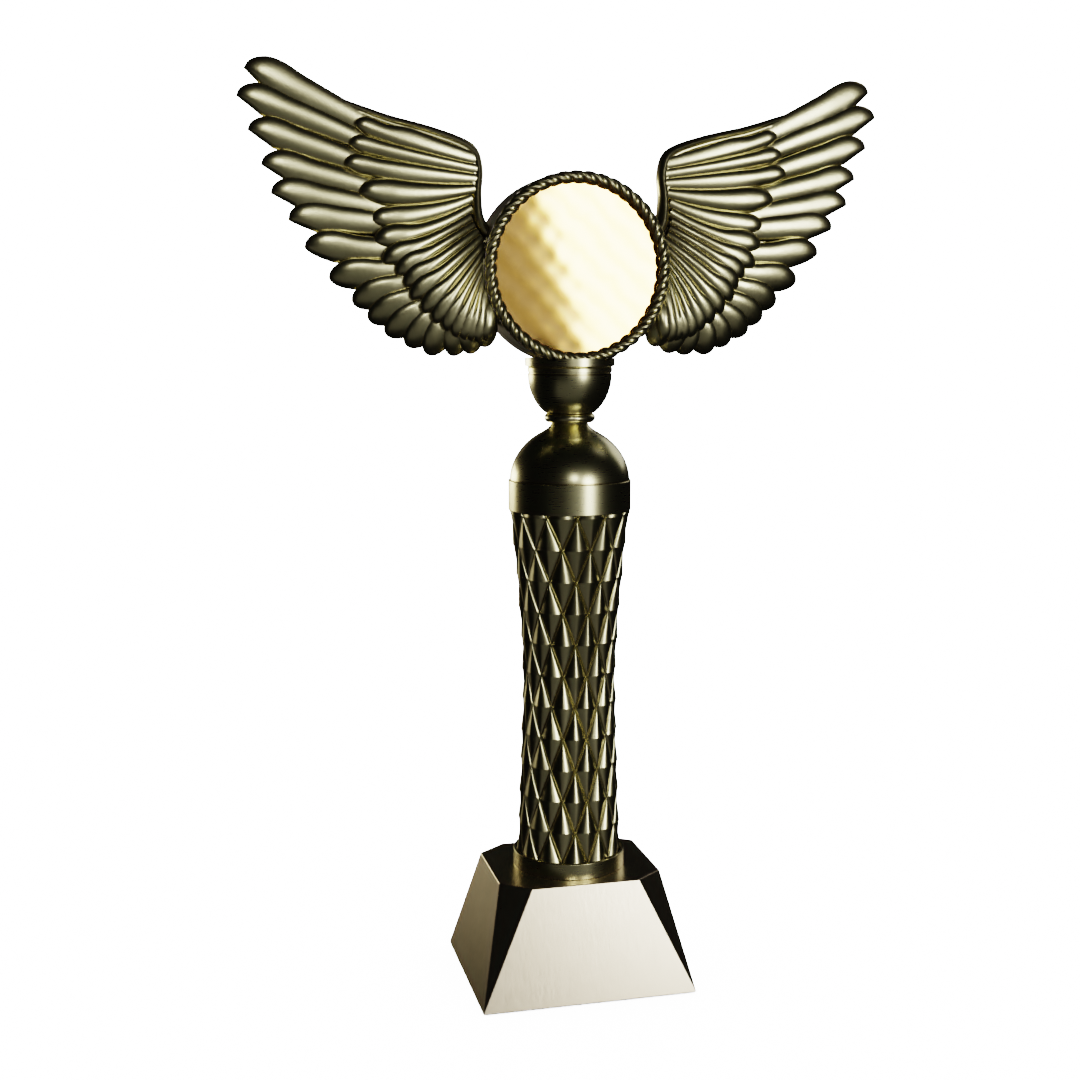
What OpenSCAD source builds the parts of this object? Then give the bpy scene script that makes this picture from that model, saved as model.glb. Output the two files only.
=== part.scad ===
// Winged medallion trophy: faceted plinth, relief column, turned dome and
// cup, rope-edged medallion and two spread wings. A tie rod clamps the stack.
// Millimetres, +Z up, front face toward -Y, origin under the plinth's centre.

/* [Plinth] */
// Width of the plinth at the floor
base_w = 87; // [80:0.5:100]
// Depth of the plinth at the floor
base_d = 72.4; // [68:0.2:84]
// Width of the plinth's top
base_top_w = 68; // [60:0.5:76]
// Depth of the plinth's top
base_top_d = 56; // [52:0.5:62]
// Height of the plinth's top above the floor
base_h = 47.2; // [42:0.1:55]
// Length of each corner cut along X, at the top
corner_x = 11.5; // [8:0.1:14]
// Length of each corner cut along Y, at the top
corner_y = 9.1; // [7:0.1:12]
// Wall of the plinth's shell
base_wall = 3; // [2.5:0.1:4]

/* [Column] */
// Radius of the column at its waist
waist_r = 18.7; // [18:0.1:20]
// Height of the waist
waist_z = 125; // [115:1:135]
// Underside of the wide band on top of the column
band_z = 196.8; // [190:0.1:205]
// Height of the band
band_h = 12.3; // [9:0.1:15]
// Radius of the band
band_r = 25; // [24.8:0.1:27]
// Diamond cells around the column
cells = 12; // [8:1:16]
// Height of one row of crossings
row_h = 12.94; // [10:0.01:16]
// Depth of the relief
relief = 1.4; // [0.8:0.1:1.8]

/* [Medallion] */
// Height of the medallion's centre
disc_z = 293.2; // [293:0.1:294]
// Diameter of the centre disc
disc_d = 70; // [68:0.5:70]
// Radius of the rope ring's centre line
rope_ring_r = 35.13; // [35:0.01:35.3]
// Radius of the rope
rope_r = 2.5; // [2.2:0.1:2.6]
// Strands in the rope
rope_strands = 3; // [2:1:4]
// Lobes that the rope's strands show on the way around
rope_lobes = 43; // [36:1:48]
// Outer radius of the drum
drum_r = 37.4; // [37.2:0.1:37.6]
// Front plane of the drum, measured toward the front
drum_front = 11.6; // [11:0.1:12]
// Back plane of the drum, measured toward the back
drum_back = 9; // [8:0.5:12]
// Wall of the drum
drum_wall = 2.5; // [2:0.1:3]

/* [Wings] */
// Half width of a long feather
flight_half_w = 5; // [4.4:0.1:5.4]
// Length of a long feather
flight_len = 46; // [42:1:50]
// Distance of the long feathers' middle plane in front of the axis
flight_y = 2.3; // [1.8:0.1:3]

/* [Fasteners] */
// Radius of the tie rod
rod_r = 3; // [2.5:0.5:3]
// Radial gap of a clearance hole
clear = 0.2; // [0.1:0.05:0.3]
// Radius of the small screws
screw_r = 1.5; // [1.25:0.25:1.5]

/* [Hidden] */

GOLD = [0.62, 0.57, 0.40];
STEEL = [0.70, 0.71, 0.72];
IRON = [0.25, 0.25, 0.26];
eps = 0.01;
fine = 96;

// Plinth, from the floor up
shell_z = 0.6;
felt_t = 1.2;
plate_t = 2;
plate_top = felt_t + plate_t;
block_gap = 0.4;
block_top = base_h - base_wall;
corner_len = norm([corner_x, corner_y]);
screw_x = 27;
screw_y = 20;
pocket_r = 11;
pocket_top = 17;
washer_r = 9;
washer_t = 1.6;
nut_r = 10 / sqrt(3);
nut_h = 5;
rod_bottom = 6;
rod_hole_r = rod_r + 3 * clear / 2;

// Collar and column
collar_r = 23.2;
collar_in_r = 22;
collar_h = 6.7;
collar_floor = 2.3;
sleeve_z = base_h + collar_floor;
sleeve_wall = 2;
spigot_h = 6;
flare_up = 5.2;
flare_down = 3;
flare_down_power = 1.15;
foot_z = 50;
row_zero_z = 182.5;
cell_turn = 7.5;
rows_up = 2;
rows_down = ceil((row_zero_z - sleeve_z) / row_h) + 1;

// Dome, bead and cup
dome_z = band_z + band_h;
bead_z = 232.3;
bowl_z = 236.2;
bowl_top = 252;
bowl_r = 17;
rim_r = 18.15;
rim_in_r = 15.9;
rim_z = 255.1;
rim_top = 258.2;
plug_r = 13.4;
plug_bottom = 244;

// Medallion
disc_r = disc_d / 2;
disc_t = 1;
face_step = 0.5;
face_r = rope_ring_r - rope_r - 2 * clear;
pad_t = 0.5;
recess = disc_t + pad_t;
web_t = 1.5;
web_back = -drum_front + recess + web_t;
drum_in_r = drum_r - drum_wall;
cover_t = 2;
cover_y = drum_back - cover_t;
rope_y = -13.4;
drum_floor_z = disc_z - drum_in_r;
clamp_w = 18;
clamp_d = 12;
clamp_top = drum_floor_z + 6;
rod_top = clamp_top + nut_h + 2;
post_r = 3;
post_ring_r = 29;
post_angles = [90, 210, 330];
wing_screw_angles = [-12, 2, 16];
wing_screw_y = -2;
wing_screw_l = 7.5;
screw_head_r = 2.75;
screw_head_h = 2;

// Long feathers from the top one down: tip x, tip z, heading of the feather.
flight = [
    [126, 366, 24], [129, 356, 20], [125, 344, 17], [120.5, 331.5, 13],
    [117, 321, 9], [111, 311, 4], [105, 301, 0], [96, 289.5, -9],
    [87.5, 280.5, -22], [81.5, 274, -28], [75, 268.5, -36], [66.5, 264.5, -46],
    [59, 261, -58], [48, 260, -72], [41, 260.5, -82], [36, 262, -92]
];
// Short feathers from the top one down: root x, root z, tip x, tip z, half width.
coverts = [
    [40, 334.5, 85.5, 346.5, 3], [39, 331, 88, 339.5, 3.1], [40, 327.5, 90, 332, 3.4],
    [41, 323, 84.5, 321.5, 4.4], [42, 319, 80, 311, 3.7], [43, 315.5, 79, 303, 4.2],
    [42, 312, 76, 295, 3.7], [41.5, 310, 70.5, 290, 3.5], [41, 308, 67.5, 285.5, 3.3],
    [40, 306, 64.5, 281, 3.3], [39, 304.5, 60, 275.5, 3.3], [38, 303, 55.5, 271, 3.3],
    [37, 301.5, 51.5, 268, 3.2], [36, 300, 47.5, 266, 3.1], [35.5, 298, 44, 264.5, 3],
    [35, 296, 40.5, 264, 3], [34.5, 294, 37, 264, 3], [34, 291, 34, 265, 3]
];
// Wing's leading edge from the medallion out: x, z, radius.
arm = [
    [38, 306, 3], [38.3, 320, 3], [38.6, 331, 3.4],
    [45, 339.5, 3.8], [72, 347, 3], [92, 353, 1.8]
];
// Filling behind the fan of short feathers: x, z, radius.
fan = [[39, 304, 3], [40, 274, 2.5], [56, 279, 2.5], [66, 294, 2.5], [68, 314, 2]];

// Point on a cubic curve at t
function curve_at(p, t) =
    pow(1 - t, 3) * p[0] + 3 * t * pow(1 - t, 2) * p[1]
    + 3 * t * t * (1 - t) * p[2] + pow(t, 3) * p[3];

// Points along a cubic curve
function curve(p, steps) = [for (i = [0 : steps]) curve_at(p, i / steps)];

// Outer radius of the column at height z
function column_r(z) =
    z > waist_z
    ? waist_r + flare_up * pow((z - waist_z) / (band_z - waist_z), 2)
    : waist_r + flare_down * pow((waist_z - z) / (waist_z - foot_z), flare_down_power);

// Share of the corner cut that is left at height z, inside a wall
function cut_share(z, inset) =
    max(eps, z / base_h
        - inset * (corner_x + corner_y - corner_len) / (corner_x * corner_y));

// Thin slice of the plinth at height z, inset by a wall
module plinth_slice(z, inset) {
    t = z / base_h;
    a = (base_w + (base_top_w - base_w) * t) / 2 - inset;
    b = (base_d + (base_top_d - base_d) * t) / 2 - inset;
    kx = corner_x * cut_share(z, inset);
    ky = corner_y * cut_share(z, inset);
    translate([0, 0, z])
        linear_extrude(eps)
            polygon([
                [a - kx, -b], [a, ky - b], [a, b - ky], [a - kx, b],
                [kx - a, b], [-a, b - ky], [-a, ky - b], [kx - a, -b]
            ]);
}

// Plinth's body between two heights, inset by a wall
module plinth_body(z0, z1, inset) {
    hull() {
        plinth_slice(z0, inset);
        plinth_slice(z1 - eps, inset);
    }
}

// Upright cylinder from z0 to z1
module post(r, z0, z1, sides = fine) {
    translate([0, 0, z0])
        cylinder(h = z1 - z0, r = r, $fn = sides);
}

// Hole for the tie rod
module rod_hole(z0, z1) {
    post(rod_hole_r, z0 - 1, z1 + 1);
}

// Cylinder along Y from y0 to y1, on the medallion's axis
module drum_body(r, y0, y1) {
    translate([0, y0, disc_z])
        rotate([-90, 0, 0])
            cylinder(h = y1 - y0, r = r, $fn = 2 * fine);
}

// Room that the drum and the rope ring take out of the pieces around them
module drum_room() {
    drum_body(drum_r + clear / 2, -drum_front - eps, drum_back + 1);
    translate([0, rope_y, disc_z])
        rotate([90, 0, 0])
            rotate_extrude($fn = 2 * fine)
                translate([rope_ring_r, 0])
                    circle(r = rope_r + clear, $fn = fine / 2);
}

// Screw with a flat countersunk head, head down at the origin, pointing up
module flat_screw(length) {
    cylinder(h = screw_r, r1 = 2 * screw_r, r2 = screw_r, $fn = 48);
    cylinder(h = length, r = screw_r, $fn = 48);
}

// Repeats its children at the plinth plate's four screws
module at_plate_screws() {
    for (x = [-screw_x, screw_x])
        for (y = [-screw_y, screw_y])
            translate([x, y, felt_t])
                children();
}

// Repeats its children at the back cover's screws, pointing forward
module at_cover_screws() {
    for (a = post_angles)
        translate([post_ring_r * cos(a), drum_back, disc_z + post_ring_r * sin(a)])
            rotate([90, 0, 0])
                children();
}

// Repeats its children at one wing's screws, pointing outward
module at_wing_screws() {
    for (a = wing_screw_angles)
        translate([0, wing_screw_y, disc_z])
            rotate([0, 90 - a, 0])
                translate([0, 0, drum_in_r])
                    children();
}

module base_shell() {
    color(GOLD)
        difference() {
            plinth_body(shell_z, base_h, 0);
            plinth_body(shell_z - 1, block_top, base_wall);
            rod_hole(block_top, base_h);
        }
}

module ballast_block() {
    color(IRON)
        difference() {
            plinth_body(plate_top, block_top, base_wall + block_gap);
            post(pocket_r, plate_top - 1, pocket_top);
            rod_hole(pocket_top, block_top);
            at_plate_screws()
                cylinder(h = 12, r = screw_r + clear / 2, $fn = 48);
        }
}

module base_plate() {
    color(STEEL)
        difference() {
            plinth_body(felt_t, plate_top, base_wall + block_gap);
            at_plate_screws() {
                translate([0, 0, -eps])
                    cylinder(h = screw_r + clear, r1 = 2 * screw_r + clear, r2 = screw_r, $fn = 48);
                cylinder(h = plate_t + 1, r = screw_r + clear / 2, $fn = 48);
            }
        }
}

module base_plate_screws() {
    color(STEEL)
        at_plate_screws()
            flat_screw(10);
}

module felt_pad() {
    color([0.12, 0.12, 0.12])
        plinth_body(0, felt_t, base_wall + 1);
}

module base_collar() {
    color(GOLD)
        difference() {
            post(collar_r, base_h, base_h + collar_h);
            post(collar_in_r, sleeve_z, base_h + collar_h + 1);
            rod_hole(base_h, sleeve_z);
        }
}

// Relief of the column: crossings lie deep, the middle of each cell stands out
module relief_body() {
    sides = 2 * cells;
    rows = rows_up + rows_down;
    points = [
        for (k = [0 : rows])
            for (j = [0 : sides - 1])
                let (
                    z = row_zero_z + (rows_up - k) * row_h,
                    deep = (j + k + rows_up) % 2 == 0,
                    r = column_r(z) - (deep ? relief : 0),
                    a = cell_turn + j * 360 / sides - 90
                )
                [r * cos(a), r * sin(a), z]
    ];
    faces = [
        for (k = [0 : rows - 1])
            for (j = [0 : sides - 1])
                let (
                    a = k * sides + j,
                    b = k * sides + (j + 1) % sides,
                    c = a + sides,
                    d = b + sides,
                    deep = (j + k + rows_up) % 2 == 0
                )
                each (deep ? [[a, b, d], [a, d, c]] : [[a, b, c], [b, d, c]])
    ];
    top = [for (j = [0 : sides - 1]) sides - 1 - j];
    bottom = [for (j = [0 : sides - 1]) rows * sides + j];
    polyhedron(points = points, faces = concat(faces, [top], [bottom]), convexity = 4);
}

module column_sleeve() {
    steps = 12;
    bore = [
        for (i = [0 : steps])
            let (z = sleeve_z - 1 + (band_z - sleeve_z + 2) * i / steps)
            [column_r(z) - relief - sleeve_wall, z]
    ];
    color(GOLD)
        difference() {
            relief_body();
            rotate_extrude($fn = fine)
                polygon(concat(bore, [[0, band_z + 1], [0, sleeve_z - 1]]));
            post(2 * band_r, 0, sleeve_z);
            post(2 * band_r, band_z, band_z + 3 * row_h);
        }
}

module column_cap_band() {
    spigot_r = column_r(band_z - spigot_h) - relief - sleeve_wall - 2 * clear;
    color(GOLD)
        difference() {
            union() {
                post(band_r, band_z, dome_z);
                post(spigot_r, band_z - spigot_h, band_z + 1);
            }
            post(spigot_r - 3, band_z - spigot_h - 1, dome_z - 4);
            rod_hole(band_z, dome_z);
        }
}

module dome_neck() {
    dome = curve([[24.4, dome_z], [24.2, 216.5], [20.2, 222.2], [15, 226.2]], 14);
    neck = curve([[15, 226.2], [11.4, 228.7], [8, 229.8], [7.3, bead_z]], 8);
    color(GOLD)
        difference() {
            rotate_extrude($fn = fine)
                polygon(concat([[0, dome_z]], dome, neck, [[0, bead_z]]));
            post(16, dome_z - 1, dome_z + 6);
            rod_hole(dome_z, bead_z);
        }
}

module neck_bead() {
    bead_r = 1.85;
    mid_z = (bead_z + bowl_z) / 2;
    color(GOLD)
        difference() {
            union() {
                post(8.6, bead_z, bowl_z);
                translate([0, 0, mid_z])
                    rotate_extrude($fn = fine)
                        translate([8.5, 0])
                            circle(r = bead_r, $fn = 32);
            }
            rod_hole(bead_z, bowl_z);
        }
}

module bowl() {
    side = curve([[9.9, bowl_z], [12.8, 238.4], [16.9, 243.5], [bowl_r, bowl_top]], 14);
    color(GOLD)
        difference() {
            rotate_extrude($fn = fine)
                polygon(concat([[0, bowl_z]], side, [[0, bowl_top]]));
            post(plug_r + clear / 2, plug_bottom, bowl_top + 1);
            rod_hole(bowl_z, plug_bottom);
        }
}

module bowl_rim() {
    color(GOLD)
        difference() {
            rotate_extrude($fn = fine)
                polygon([
                    [rim_in_r, bowl_top], [16.7, bowl_top], [16.7, 252.5], [17.1, 252.7],
                    [17.1, 254.2], [16.8, 254.6], [rim_r, rim_z], [rim_r, rim_top],
                    [rim_in_r, rim_top]
                ]);
            drum_room();
        }
}

module medallion_seat() {
    color(GOLD)
        difference() {
            union() {
                post(plug_r, plug_bottom, bowl_top + 1);
                post(rim_in_r - clear / 2, bowl_top, rim_top - 0.6);
            }
            rod_hole(plug_bottom, rim_top);
            drum_room();
        }
}

module tie_rod() {
    color(STEEL)
        post(rod_r, rod_bottom, rod_top);
}

// Hexagon nut on the rod, standing on z
module rod_nut(z) {
    difference() {
        post(nut_r, z, z + nut_h, 6);
        post(rod_r + clear / 4, z - 1, z + nut_h + 1);
    }
}

module rod_bottom_nut() {
    color(STEEL)
        rod_nut(pocket_top - washer_t - nut_h);
}

module rod_bottom_washer() {
    color(STEEL)
        difference() {
            post(washer_r, pocket_top - washer_t, pocket_top);
            rod_hole(pocket_top - washer_t, pocket_top);
        }
}

module rod_top_nut() {
    color(STEEL)
        rod_nut(clamp_top);
}

module drum_clamp_block() {
    color(STEEL)
        difference() {
            intersection() {
                drum_body(drum_in_r - eps, -clamp_d / 2, clamp_d / 2);
                translate([-clamp_w / 2, -clamp_d / 2, drum_floor_z - 1])
                    cube([clamp_w, clamp_d, clamp_top - drum_floor_z + 1]);
            }
            rod_hole(drum_floor_z, clamp_top);
        }
}

module drum_shell() {
    color(GOLD)
        difference() {
            union() {
                difference() {
                    drum_body(drum_r, -drum_front, drum_back);
                    drum_body(disc_r + clear, -drum_front - 1, recess - drum_front);
                    drum_body(drum_in_r, web_back, drum_back + 1);
                }
                at_cover_screws()
                    translate([0, 0, cover_t])
                        cylinder(h = cover_y - web_back + eps, r = post_r, $fn = 48);
            }
            at_cover_screws()
                cylinder(h = 10, r = screw_r + clear / 2, $fn = 48);
            at_wing_screws()
                translate([0, 0, -1])
                    cylinder(h = drum_wall + 2, r = screw_r + clear, $fn = 48);
            mirror([1, 0, 0])
                at_wing_screws()
                    translate([0, 0, -1])
                        cylinder(h = drum_wall + 2, r = screw_r + clear, $fn = 48);
            rod_hole(disc_z - drum_r, drum_floor_z);
        }
}

module back_cover() {
    color(GOLD)
        difference() {
            drum_body(drum_in_r - clear, cover_y, drum_back);
            at_cover_screws() {
                translate([0, 0, -eps])
                    cylinder(h = screw_r + clear, r1 = 2 * screw_r + clear, r2 = screw_r, $fn = 48);
                cylinder(h = 2 * cover_t, r = screw_r + clear / 2, $fn = 48);
            }
        }
}

module back_cover_screws() {
    color(STEEL)
        at_cover_screws()
            flat_screw(8);
}

// Rope ring: lobed section that turns on its way around, flat at the back
module rope_bezel() {
    stations = rope_lobes * 4;
    sides = 4 * rope_strands;
    groove = 0.42;
    points = [
        for (i = [0 : stations - 1])
            for (j = [0 : sides - 1])
                let (
                    around = 360 * i / stations,
                    a = 360 * j / sides,
                    r = rope_r - groove * (0.5 - 0.5 * cos(a * rope_strands)),
                    turned = a + around * rope_lobes / rope_strands,
                    ring_r = rope_ring_r + r * cos(turned)
                )
                [ring_r * cos(around), rope_y + r * sin(turned), disc_z + ring_r * sin(around)]
    ];
    faces = [
        for (i = [0 : stations - 1])
            for (j = [0 : sides - 1])
                let (
                    a = i * sides + j,
                    b = i * sides + (j + 1) % sides,
                    c = (i + 1) % stations * sides + j,
                    d = (i + 1) % stations * sides + (j + 1) % sides
                )
                each [[a, b, d], [a, d, c]]
    ];
    color(GOLD)
        difference() {
            polyhedron(points = points, faces = faces, convexity = 6);
            drum_body(drum_r + 2, -drum_front, 0);
        }
}

module disc_pad() {
    color([0.9, 0.9, 0.88])
        drum_body(disc_r - 1, disc_t - drum_front, recess - drum_front);
}

// Pressed disc: a flange under the rope and a raised face inside it
module centre_disc() {
    color([0.83, 0.69, 0.42]) {
        drum_body(disc_r, -drum_front, disc_t - drum_front);
        drum_body(face_r, -drum_front - face_step, disc_t - drum_front);
    }
}

// Flat oval bead of a wing, at x and z, with its middle plane y in front
module wing_bead(x, y, z, r, half_t, sides = 8) {
    translate([x, -y, z])
        scale([1, half_t / r, 1])
            rotate([90, 0, 0])
                sphere(r = r, $fn = sides);
}

// One feather from its root to its tip
module feather(root, tip, half_w, root_half_w, y_root, y_tip, half_t) {
    along = (tip - root) / norm(tip - root);
    wide = tip - along * (1.5 * half_w);
    hull() {
        wing_bead(root.x, y_root, root.y, root_half_w, half_t);
        wing_bead(wide.x, y_tip, wide.y, half_w, half_t);
        wing_bead(tip.x - along.x, y_tip, tip.y - along.y, 1, 0.8, 6);
    }
}

// Distance of a short feather's middle plane in front, from the height of its tip
function covert_y(z) = 2.6 + 6.2 * min(1, max(0, (308 - z) / 30));

module wing_feathers() {
    for (f = flight) {
        tip = [f[0], f[1]];
        root = tip - flight_len * [cos(f[2]), sin(f[2])];
        feather(root, tip, flight_half_w, 0.85 * flight_half_w, flight_y, flight_y, 1.7);
    }
    for (c = coverts) {
        y = covert_y(c[3]);
        feather([c[0], c[1]], [c[2], c[3]], c[4], 0.6 * c[4], 2.6 + y / 5, y, 2);
    }
}

module wing_arm() {
    for (i = [1 : len(arm) - 1])
        hull() {
            wing_bead(arm[i - 1].x, 0, arm[i - 1].y, arm[i - 1].z, 1.2 * arm[i - 1].z);
            wing_bead(arm[i].x, 0, arm[i].y, arm[i].z, 1.2 * arm[i].z);
        }
}

// Solid behind the fan, and the block that the wing's screws hold
module wing_root() {
    hull()
        for (f = fan)
            wing_bead(f[0], 3.4, f[1], 2 * f[2], 1.6 * f[2]);
    hull() {
        wing_bead(40, 1.5, 284, 5, 4);
        wing_bead(41, 1.5, 305, 5, 4);
        wing_bead(38, 1.5, 306, 4, 4);
        wing_bead(36, 1.5, 284, 4, 4);
    }
}

// The +X wing; the other one is its mirror image
module wing_body() {
    hole_sides = 24;
    difference() {
        union() {
            wing_feathers();
            wing_arm();
            wing_root();
        }
        drum_body(drum_r + clear / 2, -drum_front - 9, drum_back + 9);
        drum_body(rope_ring_r + rope_r + clear, -drum_front - 9, rope_y + rope_r + clear);
        at_wing_screws()
            cylinder(
                h = wing_screw_l + 3,
                r = (screw_r + clear / 2) / cos(180 / hole_sides),
                $fn = hole_sides
            );
    }
}

module right_wing() {
    color(GOLD)
        wing_body();
}

module left_wing() {
    color(GOLD)
        mirror([1, 0, 0])
            wing_body();
}

module wing_screws() {
    at_wing_screws() {
        cylinder(h = wing_screw_l, r = screw_r, $fn = 48);
        translate([0, 0, -screw_head_h])
            cylinder(h = screw_head_h - clear, r = screw_head_r, $fn = 48);
        translate([0, 0, -screw_head_h / 2])
            cylinder(h = screw_head_h, r = screw_r, $fn = 48);
    }
}

module right_wing_screws() {
    color(STEEL)
        wing_screws();
}

module left_wing_screws() {
    color(STEEL)
        mirror([1, 0, 0])
            wing_screws();
}

base_shell();
ballast_block();
base_plate();
base_plate_screws();
felt_pad();
base_collar();
column_sleeve();
column_cap_band();
dome_neck();
neck_bead();
bowl();
bowl_rim();
medallion_seat();
tie_rod();
rod_bottom_nut();
rod_bottom_washer();
rod_top_nut();
drum_clamp_block();
drum_shell();
back_cover();
back_cover_screws();
rope_bezel();
disc_pad();
centre_disc();
left_wing();
right_wing();
left_wing_screws();
right_wing_screws();
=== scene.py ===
import math

import bmesh
import bpy
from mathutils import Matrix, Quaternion, Vector


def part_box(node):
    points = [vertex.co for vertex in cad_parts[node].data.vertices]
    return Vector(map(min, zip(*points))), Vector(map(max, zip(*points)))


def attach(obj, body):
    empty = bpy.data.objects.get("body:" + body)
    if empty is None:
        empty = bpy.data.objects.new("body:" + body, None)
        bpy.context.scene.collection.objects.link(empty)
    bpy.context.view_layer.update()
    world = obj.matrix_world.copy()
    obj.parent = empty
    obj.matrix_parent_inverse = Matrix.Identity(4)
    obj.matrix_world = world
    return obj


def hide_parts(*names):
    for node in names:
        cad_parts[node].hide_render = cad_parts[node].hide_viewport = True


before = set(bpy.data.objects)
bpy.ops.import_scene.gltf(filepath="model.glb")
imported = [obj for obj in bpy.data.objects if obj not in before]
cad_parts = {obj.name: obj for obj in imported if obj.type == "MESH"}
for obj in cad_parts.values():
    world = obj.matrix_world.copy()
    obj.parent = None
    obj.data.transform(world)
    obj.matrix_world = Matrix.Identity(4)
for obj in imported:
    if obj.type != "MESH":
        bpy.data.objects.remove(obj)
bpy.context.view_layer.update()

# Metres in one millimetre: shapes are written in millimetres, like the CAD
MM = 0.001

# Camera: place in metres, heading in degrees from +Y toward +X, and pitch
CAMERA_AT = (-0.157, -0.5883, 0.2694)
CAMERA_HEADING = 13.81
CAMERA_PITCH = -7.98
CAMERA_LENS = 50
CAMERA_SENSOR = 36

# Light: strength of the white surroundings, how little of them metal reflects,
# distance and height of the softboxes in metres, and the colour of those behind
WHITE = 16.0
DARK = 0.006
LIGHT_DISTANCE = 2.0
LIGHT_CENTRE_Z = 0.2
WARM = (1, 0.92, 0.72)

# Plinth: size of its top, corner cuts there, wall, and how far the visible foot
# reaches beyond the CAD's plain slope
TOP_W = 68
TOP_D = 56
CORNER_X = 11.5
CORNER_Y = 9.1
PLINTH_WALL = 3
FOOT_SPREAD = 1.2

# Hole for the tie rod through the turned parts
ROD_HOLE_R = 3.3

# Column relief: waist, flare, wall, and the lattice of diamond cells
WAIST_R = 19.6
WAIST_Z = 125
FLARE_UP = 5.3
FLARE_UP_POWER = 1.6
FLARE_DOWN = 2.4
FLARE_DOWN_POWER = 1.15
FOOT_Z = 50
BAND_Z = 196.8
SLEEVE_WALL = 2
SPIGOT_GAP = 0.6
CELLS = 12
ROW_H = 12.94
ROW_ZERO_Z = 182.5
CELL_TURN = 7.5
RELIEF = 1.5
LEDGE = 0.4
BEVEL = 0.3
BEVEL_W = 0.6
PETAL_POWER = 1.7
FACET_POWER = 1.6
# How many times the shading leans around and along the column beyond the real relief
SHADE_AROUND = 2.2
SHADE_ALONG = 1.6

# Rope ring around the face
ROPE_RING_R = 35.13
ROPE_R = 2.5
ROPE_Y = -13.4
ROPE_LOBES = 43
STRANDS = 3
STRAND_GROOVE = 0.2

# Face plate: how far its face lies behind the CAD's raised middle, and its dents
FACE_STEP = 0.5
DENT_DEPTH = 0.013
DENT_PERIOD = 8.6

# Long feathers from the top one down: tip x, tip z, heading, bow of the centre line
FLIGHT = [
    (126, 366.8, 24, 0.2),
    (129.2, 356.6, 20, 1.2),
    (125.4, 344.3, 17, 1.0),
    (120.8, 331.7, 13, 0.8),
    (117.5, 321.2, 9, 0.8),
    (111.2, 311.4, 4, 0.8),
    (105.3, 301.3, 0, -2.0),
    (96.3, 289.7, -9, -2.6),
    (87.7, 280.7, -22, -3.2),
    (81.7, 274.2, -28, -3.2),
    (75.2, 268.5, -36, -3.0),
    (67.2, 263.8, -46, -2.2),
    (59, 260, -58, -1),
    (49, 259.2, -72, 0),
    (41.5, 259.8, -82, 0.5),
    (35, 262.5, -92, 0.5),
]
# Their length, how many have it, and how much shorter each later one is
FLIGHT_LEN = 62
FLIGHT_FULL = 7
FLIGHT_STEP = 4.4
FLIGHT_HALF_W = 5.1
# Y of the top feather's tip, and how much further forward each later tip lies
FLIGHT_Y = -2.0
FLIGHT_Y_STEP = 0.16

# Short feathers from the top one down: root x, root z, tip x, tip z, half width, bow
COVERTS = [
    (39, 334.5, 85.7, 347.2, 3.1, -1.0),
    (38.3, 331, 88, 339.7, 3.2, 0),
    (38.6, 327.3, 90, 332.2, 3.5, -0.5),
    (39.3, 323.5, 84.5, 321.8, 4.6, -1.8),
    (40.4, 320, 80.2, 311.2, 4.0, -2.4),
    (40.6, 316.3, 79.2, 303.2, 4.4, -2.6),
    (40.8, 312.6, 76, 295, 3.9, -0.7),
    (39.8, 309.8, 71, 290.5, 3.8, 0.2),
    (38.6, 307.4, 68, 286, 3.7, 0.2),
    (37.2, 304.8, 65.5, 281, 3.7, 0.3),
    (36.8, 302.2, 61, 276, 3.6, 0.4),
    (36.6, 299.8, 56.5, 272, 3.6, 0.5),
    (36.2, 297.6, 52, 269, 3.4, 1.2),
    (36, 295.6, 48.3, 266.5, 3.2, 1.0),
    (35.8, 293.6, 45, 265.5, 3.1, 0.8),
    (37, 293, 42, 265, 3, 0.5),
    (36.4, 289, 39, 264.5, 3, 0.5),
    (34.5, 283, 36, 265, 3, 0.3),
]
# Stand-in above the first short feather, so that it reaches the leading edge
ABOVE_COVERTS = (39, 339.5, 84, 359, 3, -0.5)

# Leading edge of a wing from the medallion out: x, z, radius
ARM = [
    (34, 305.5, 2.8),
    (37.8, 312.5, 2.5),
    (38.4, 322, 2.2),
    (37.6, 330.5, 2.0),
    (39.4, 337.8, 2.0),
    (45, 341.6, 1.9),
    (58, 345.7, 1.8),
    (72, 349.0, 1.7),
    (83, 352.5, 1.5),
    (95, 356.8, 1.0),
]

# The lip beside the leading edge starts above the root, at this point of ARM
LIP_START = 2

# Y of the leading edge's middle
ARM_Y = -0.8

# Backing plate of the short feathers, and the block that takes the wing's screws:
# outlines of x and z, then Y of the front and the back
BACKING = [
    (36, 305), (38, 320), (38, 331), (40, 338), (46, 342), (58, 346), (72, 349),
    (96, 357), (108, 353), (106, 338), (102, 322), (97, 309), (88, 295), (78, 283),
    (64, 272), (48, 267), (38, 268), (33, 280),
]
BACKING_Y = (-0.6, 2)
ROOT_BLOCK = [(30, 309), (36, 308), (39, 305), (40, 296), (39, 284), (36, 280), (30, 279)]
ROOT_BLOCK_Y = (-3.7, 4)


# ---------------------------------------------------------------- materials


def node_tree(name):
    """New material, its node tree and its main shader."""
    material = bpy.data.materials.new(name)
    material.use_nodes = True
    tree = material.node_tree
    return material, tree, tree.nodes["Principled BSDF"]


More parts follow.
